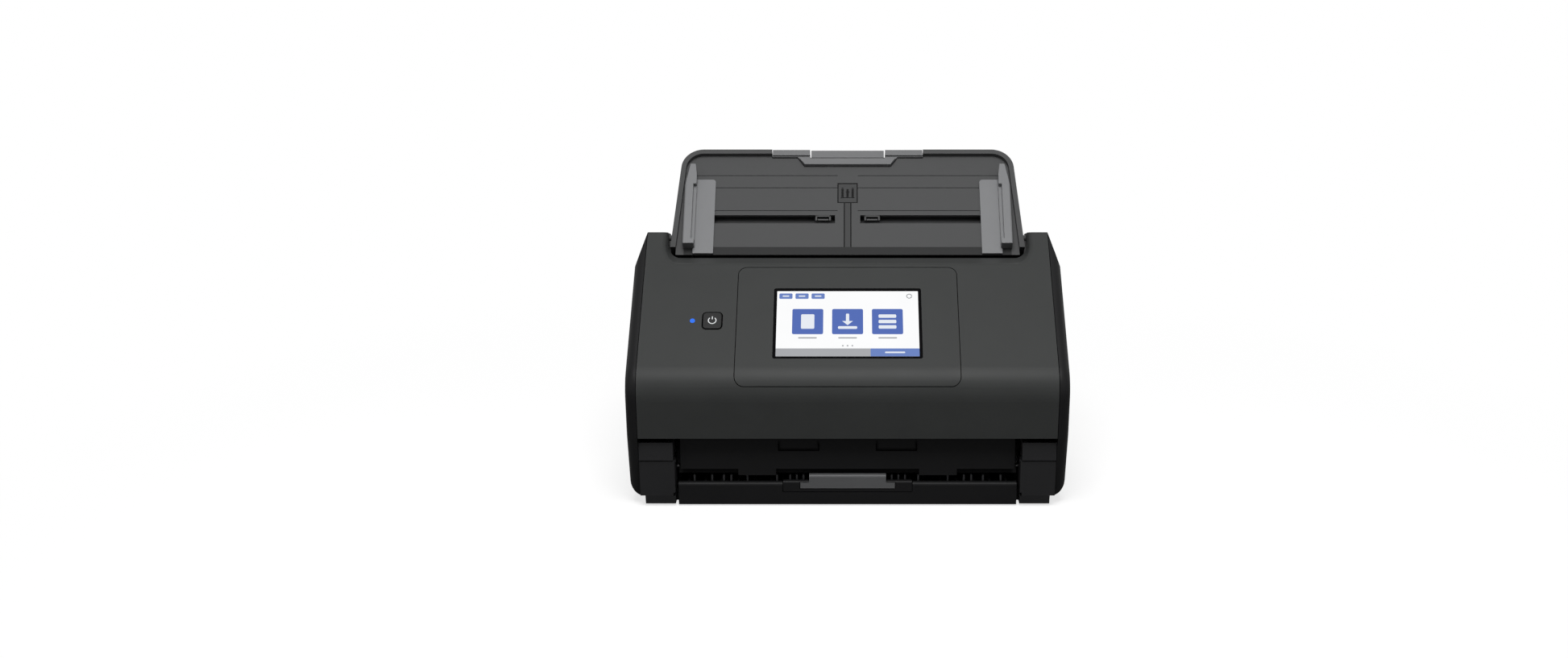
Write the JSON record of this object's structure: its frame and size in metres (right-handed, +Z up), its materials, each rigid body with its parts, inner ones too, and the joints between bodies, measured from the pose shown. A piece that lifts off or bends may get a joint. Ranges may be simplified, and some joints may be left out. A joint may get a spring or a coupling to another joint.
{
  "type": "document scanner",
  "caption": "Sheet-fed desktop document scanner: sloped touch panel, folding input tray with coupled edge guides, opening front cover and telescoping output tray.",
  "frame": {"origin": "bottom centre of the box around the scanner, on the surface it stands on", "axes": "+X to the right of a person facing the panel, -Y to the front, +Z up"},
  "size_m": [0.296, 0.1663, 0.2203],
  "materials": {
    "casing_black": "fine matt grain",
    "face_grey": "fine matt grain",
    "tray_grey": "fine matt grain",
    "guide_grey": "smooth",
    "handle_grey": "smooth",
    "screen_glass": "polished",
    "lamp_blue": "glowing",
    "inner_black": "smooth",
    "board_green": "solder mask",
    "sheet_steel": "plain",
    "rubber_dark": "matt"
  },
  "bodies": {
    "base": {"left_side_cover": "casing_black", "right_side_cover": "casing_black", "rear_cover": "casing_black", "power_inlet": "inner_black", "usb_socket": "inner_black", "bottom_pan": "casing_black", "left_front_post": "casing_black", "right_front_post": "casing_black", "left_hinge_cap": "casing_black", "right_hinge_cap": "casing_black", "left_frame": "sheet_steel", "right_frame": "sheet_steel", "chassis_plate": "sheet_steel", "main_board": "board_green", "drive_motor": "sheet_steel", "gear_case": "casing_black", "rubber_feet": "rubber_dark", "pan_screws": "sheet_steel", "lower_paper_guide": "inner_black", "lower_scan_glass": "screen_glass", "lower_sensor_bar": "inner_black", "drive_belt": "rubber_dark"},
    "cover": {"front_cover": "face_grey", "control_panel": "face_grey", "touch_glass": "screen_glass", "display_module": "inner_black", "panel_board": "board_green", "status_lamp": "lamp_blue", "upper_paper_guide": "inner_black", "mouth_apron": "casing_black", "upper_scan_glass": "screen_glass", "upper_sensor_bar": "inner_black", "roller_ears": "inner_black", "left_hinge_arm": "casing_black", "right_hinge_arm": "casing_black"},
    "power_button": {"power_button": "face_grey"},
    "release_lever": {"cover_release_lever": "casing_black"},
    "input_tray": {"input_tray_plate": "tray_grey", "input_tray_lid": "tray_grey", "tray_centre_strip": "casing_black"},
    "left_guide": {"left_edge_guide": "guide_grey"},
    "right_guide": {"right_edge_guide": "guide_grey"},
    "pinion": {"guide_pinion": "guide_grey"},
    "tray_extension": {"tray_extension": "handle_grey"},
    "tray_inner_extension": {"tray_inner_extension": "handle_grey"},
    "output_tray": {"output_tray": "casing_black"},
    "output_second_stage": {"output_second_stage": "casing_black"},
    "output_third_stage": {"output_third_stage": "handle_grey"},
    "feed_roller": {"feed_roller_shaft": "sheet_steel", "feed_roller_tyres": "rubber_dark"},
    "drive_roller": {"drive_roller_shaft": "sheet_steel", "drive_roller_tyres": "rubber_dark"},
    "eject_roller": {"eject_roller_shaft": "sheet_steel", "eject_roller_tyres": "rubber_dark"},
    "separation_roller": {"separation_shaft": "sheet_steel", "separation_tyres": "rubber_dark"},
    "drive_pinch_roller": {"drive_pinch_shaft": "sheet_steel", "drive_pinch_tyres": "rubber_dark"},
    "eject_pinch_roller": {"eject_pinch_shaft": "sheet_steel", "eject_pinch_tyres": "rubber_dark"}
  },
  "joints": [
    {"name": "cover_hinge", "type": "hinge", "parent": "base", "child": "cover", "pos_m": [0, -0.0692, 0.032], "axis": [1, 0, 0], "range_deg": [0, 50]},
    {"name": "power_press", "type": "slide", "parent": "cover", "child": "power_button", "axis": [0, 0.6388, -0.7694], "range_m": [0, 0.0008], "stiffness_N_per_m": 400},
    {"name": "lever_pull", "type": "hinge", "parent": "base", "child": "release_lever", "pos_m": [0, 0.0628, 0.1477], "axis": [-1, 0, 0], "range_deg": [0, 12], "stiffness_Nm_per_rad": 0.05},
    {"name": "tray_fold", "type": "hinge", "parent": "base", "child": "input_tray", "pos_m": [0, 0.02779, 0.16447], "axis": [-1, 0, 0], "range_deg": [-133, 0]},
    {"name": "left_guide_slide", "type": "slide", "parent": "input_tray", "child": "left_guide", "axis": [1, 0, 0], "range_m": [0, 0.068]},
    {"name": "right_guide_slide", "type": "slide", "parent": "input_tray", "child": "right_guide", "axis": [-1, 0, 0], "range_m": [0, 0.068]},
    {"name": "pinion_spin", "type": "hinge", "parent": "input_tray", "child": "pinion", "pos_m": [0, 0.04111, 0.17299], "axis": [0, 0.7254, -0.6884], "range_deg": [0, 492.01]},
    {"name": "extension_slide", "type": "slide", "parent": "input_tray", "child": "tray_extension", "axis": [0, 0.6884, 0.7254], "range_m": [0, 0.035]},
    {"name": "inner_extension_slide", "type": "slide", "parent": "tray_extension", "child": "tray_inner_extension", "axis": [0, 0.6884, 0.7254], "range_m": [0, 0.03]},
    {"name": "output_slide", "type": "slide", "parent": "base", "child": "output_tray", "axis": [0, -1, 0], "range_m": [0, 0.09]},
    {"name": "output_second_slide", "type": "slide", "parent": "output_tray", "child": "output_second_stage", "axis": [0, -1, 0], "range_m": [0, 0.075]},
    {"name": "output_third_slide", "type": "slide", "parent": "output_second_stage", "child": "output_third_stage", "axis": [0, -1, 0], "range_m": [0, 0.06]},
    {"name": "drive_spin", "type": "hinge", "parent": "base", "child": "drive_roller", "pos_m": [0, -0.00318, 0.10387], "axis": [1, 0, 0], "continuous": true},
    {"name": "feed_spin", "type": "hinge", "parent": "base", "child": "feed_roller", "pos_m": [0, 0.01129, 0.12787], "axis": [1, 0, 0], "continuous": true},
    {"name": "eject_spin", "type": "hinge", "parent": "base", "child": "eject_roller", "pos_m": [0, -0.03455, 0.05187], "axis": [1, 0, 0], "continuous": true},
    {"name": "separation_spin", "type": "hinge", "parent": "cover", "child": "separation_roller", "pos_m": [0, -0.00198, 0.13587], "axis": [1, 0, 0], "continuous": true},
    {"name": "drive_pinch_spin", "type": "hinge", "parent": "cover", "child": "drive_pinch_roller", "pos_m": [0, -0.01646, 0.11187], "axis": [1, 0, 0], "continuous": true},
    {"name": "eject_pinch_spin", "type": "hinge", "parent": "cover", "child": "eject_pinch_roller", "pos_m": [0, -0.04782, 0.05987], "axis": [1, 0, 0], "continuous": true}
  ],
  "couplings": [
    {"joint": "right_guide_slide", "follows": "left_guide_slide", "ratio": 1},
    {"joint": "pinion_spin", "follows": "left_guide_slide", "rad_per_m": 125},
    {"joint": "feed_spin", "follows": "drive_spin", "ratio": 1},
    {"joint": "eject_spin", "follows": "drive_spin", "ratio": 1}
  ]
}
